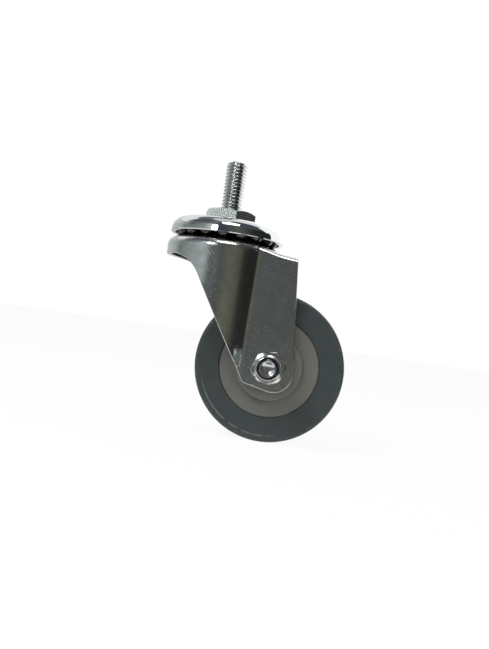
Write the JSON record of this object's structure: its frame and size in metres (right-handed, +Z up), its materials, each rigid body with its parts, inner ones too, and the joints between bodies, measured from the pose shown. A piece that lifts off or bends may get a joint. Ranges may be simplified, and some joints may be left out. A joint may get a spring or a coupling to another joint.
{
  "type": "swivel castor",
  "caption": "Swivel castor with a threaded stem and hex shoulder, a domed swivel head on balls, a pressed steel fork and a soft grey wheel on ball bearings.",
  "frame": {"origin": "on the swivel axis, at the top face of the hex shoulder, where the stem enters what it carries", "axes": "+Z up along the threaded stem, +X towards the trailing wheel, so the axle runs along Y with its nut on the -Y side"},
  "size_m": [0.1002, 0.0646, 0.1419],
  "materials": {
    "stem_steel": "bright zinc plate, turned",
    "cap_plating": "mirror bright plating",
    "fork_plating": "bright plating, fine scratches",
    "bolt_steel": "bright zinc plate",
    "ball_steel": "polished",
    "race_steel": "ground steel",
    "shield_steel": "pressed sheet",
    "cage_nylon": "natural nylon",
    "blue_nylon": "dark blue nylon",
    "hub_grey": "warm mid grey moulding",
    "tyre_grey": "dark slate grey, semi matt"
  },
  "bodies": {
    "stem_head": {"threaded_stem": "stem_steel", "top_cap": "cap_plating", "lower_race_cup": "race_steel"},
    "fork_frame": {"fork": "fork_plating", "axle_bolt": "bolt_steel", "axle_nut": "bolt_steel", "nut_insert": "blue_nylon", "axle_sleeve": "race_steel", "near_inner_race": "race_steel", "far_inner_race": "race_steel"},
    "upper_ball_row": {"upper_balls": "ball_steel"},
    "lower_ball_row": {"lower_balls": "ball_steel"},
    "wheel": {"tyre": "tyre_grey", "wheel_core": "hub_grey", "near_outer_race": "race_steel", "near_outboard_shield": "shield_steel", "near_inboard_shield": "shield_steel", "far_outer_race": "race_steel", "far_outboard_shield": "shield_steel", "far_inboard_shield": "shield_steel"},
    "near_ball_set": {"near_bearing_balls": "ball_steel", "near_bearing_cage": "cage_nylon"},
    "far_ball_set": {"far_bearing_balls": "ball_steel", "far_bearing_cage": "cage_nylon"}
  },
  "joints": [
    {"name": "swivel", "type": "hinge", "parent": "stem_head", "child": "fork_frame", "pos_m": [0, 0, -0.013], "axis": [0, 0, 1], "continuous": true},
    {"name": "upper_row_roll", "type": "hinge", "parent": "stem_head", "child": "upper_ball_row", "pos_m": [0, 0, -0.013], "axis": [0, 0, 1], "continuous": true},
    {"name": "lower_row_roll", "type": "hinge", "parent": "stem_head", "child": "lower_ball_row", "pos_m": [0, 0, -0.0171], "axis": [0, 0, 1], "continuous": true},
    {"name": "wheel_spin", "type": "hinge", "parent": "fork_frame", "child": "wheel", "pos_m": [0.0315, 0, -0.0778], "axis": [0, 1, 0], "continuous": true},
    {"name": "near_ball_set_roll", "type": "hinge", "parent": "fork_frame", "child": "near_ball_set", "pos_m": [0.0315, -0.01655, -0.0778], "axis": [0, 1, 0], "continuous": true},
    {"name": "far_ball_set_roll", "type": "hinge", "parent": "fork_frame", "child": "far_ball_set", "pos_m": [0.0315, 0.01655, -0.0778], "axis": [0, 1, 0], "continuous": true}
  ],
  "couplings": [
    {"joint": "upper_row_roll", "follows": "swivel", "ratio": 0.4389},
    {"joint": "lower_row_roll", "follows": "swivel", "ratio": 0.5789},
    {"joint": "near_ball_set_roll", "follows": "wheel_spin", "ratio": 0.5722},
    {"joint": "far_ball_set_roll", "follows": "wheel_spin", "ratio": 0.5722}
  ]
}
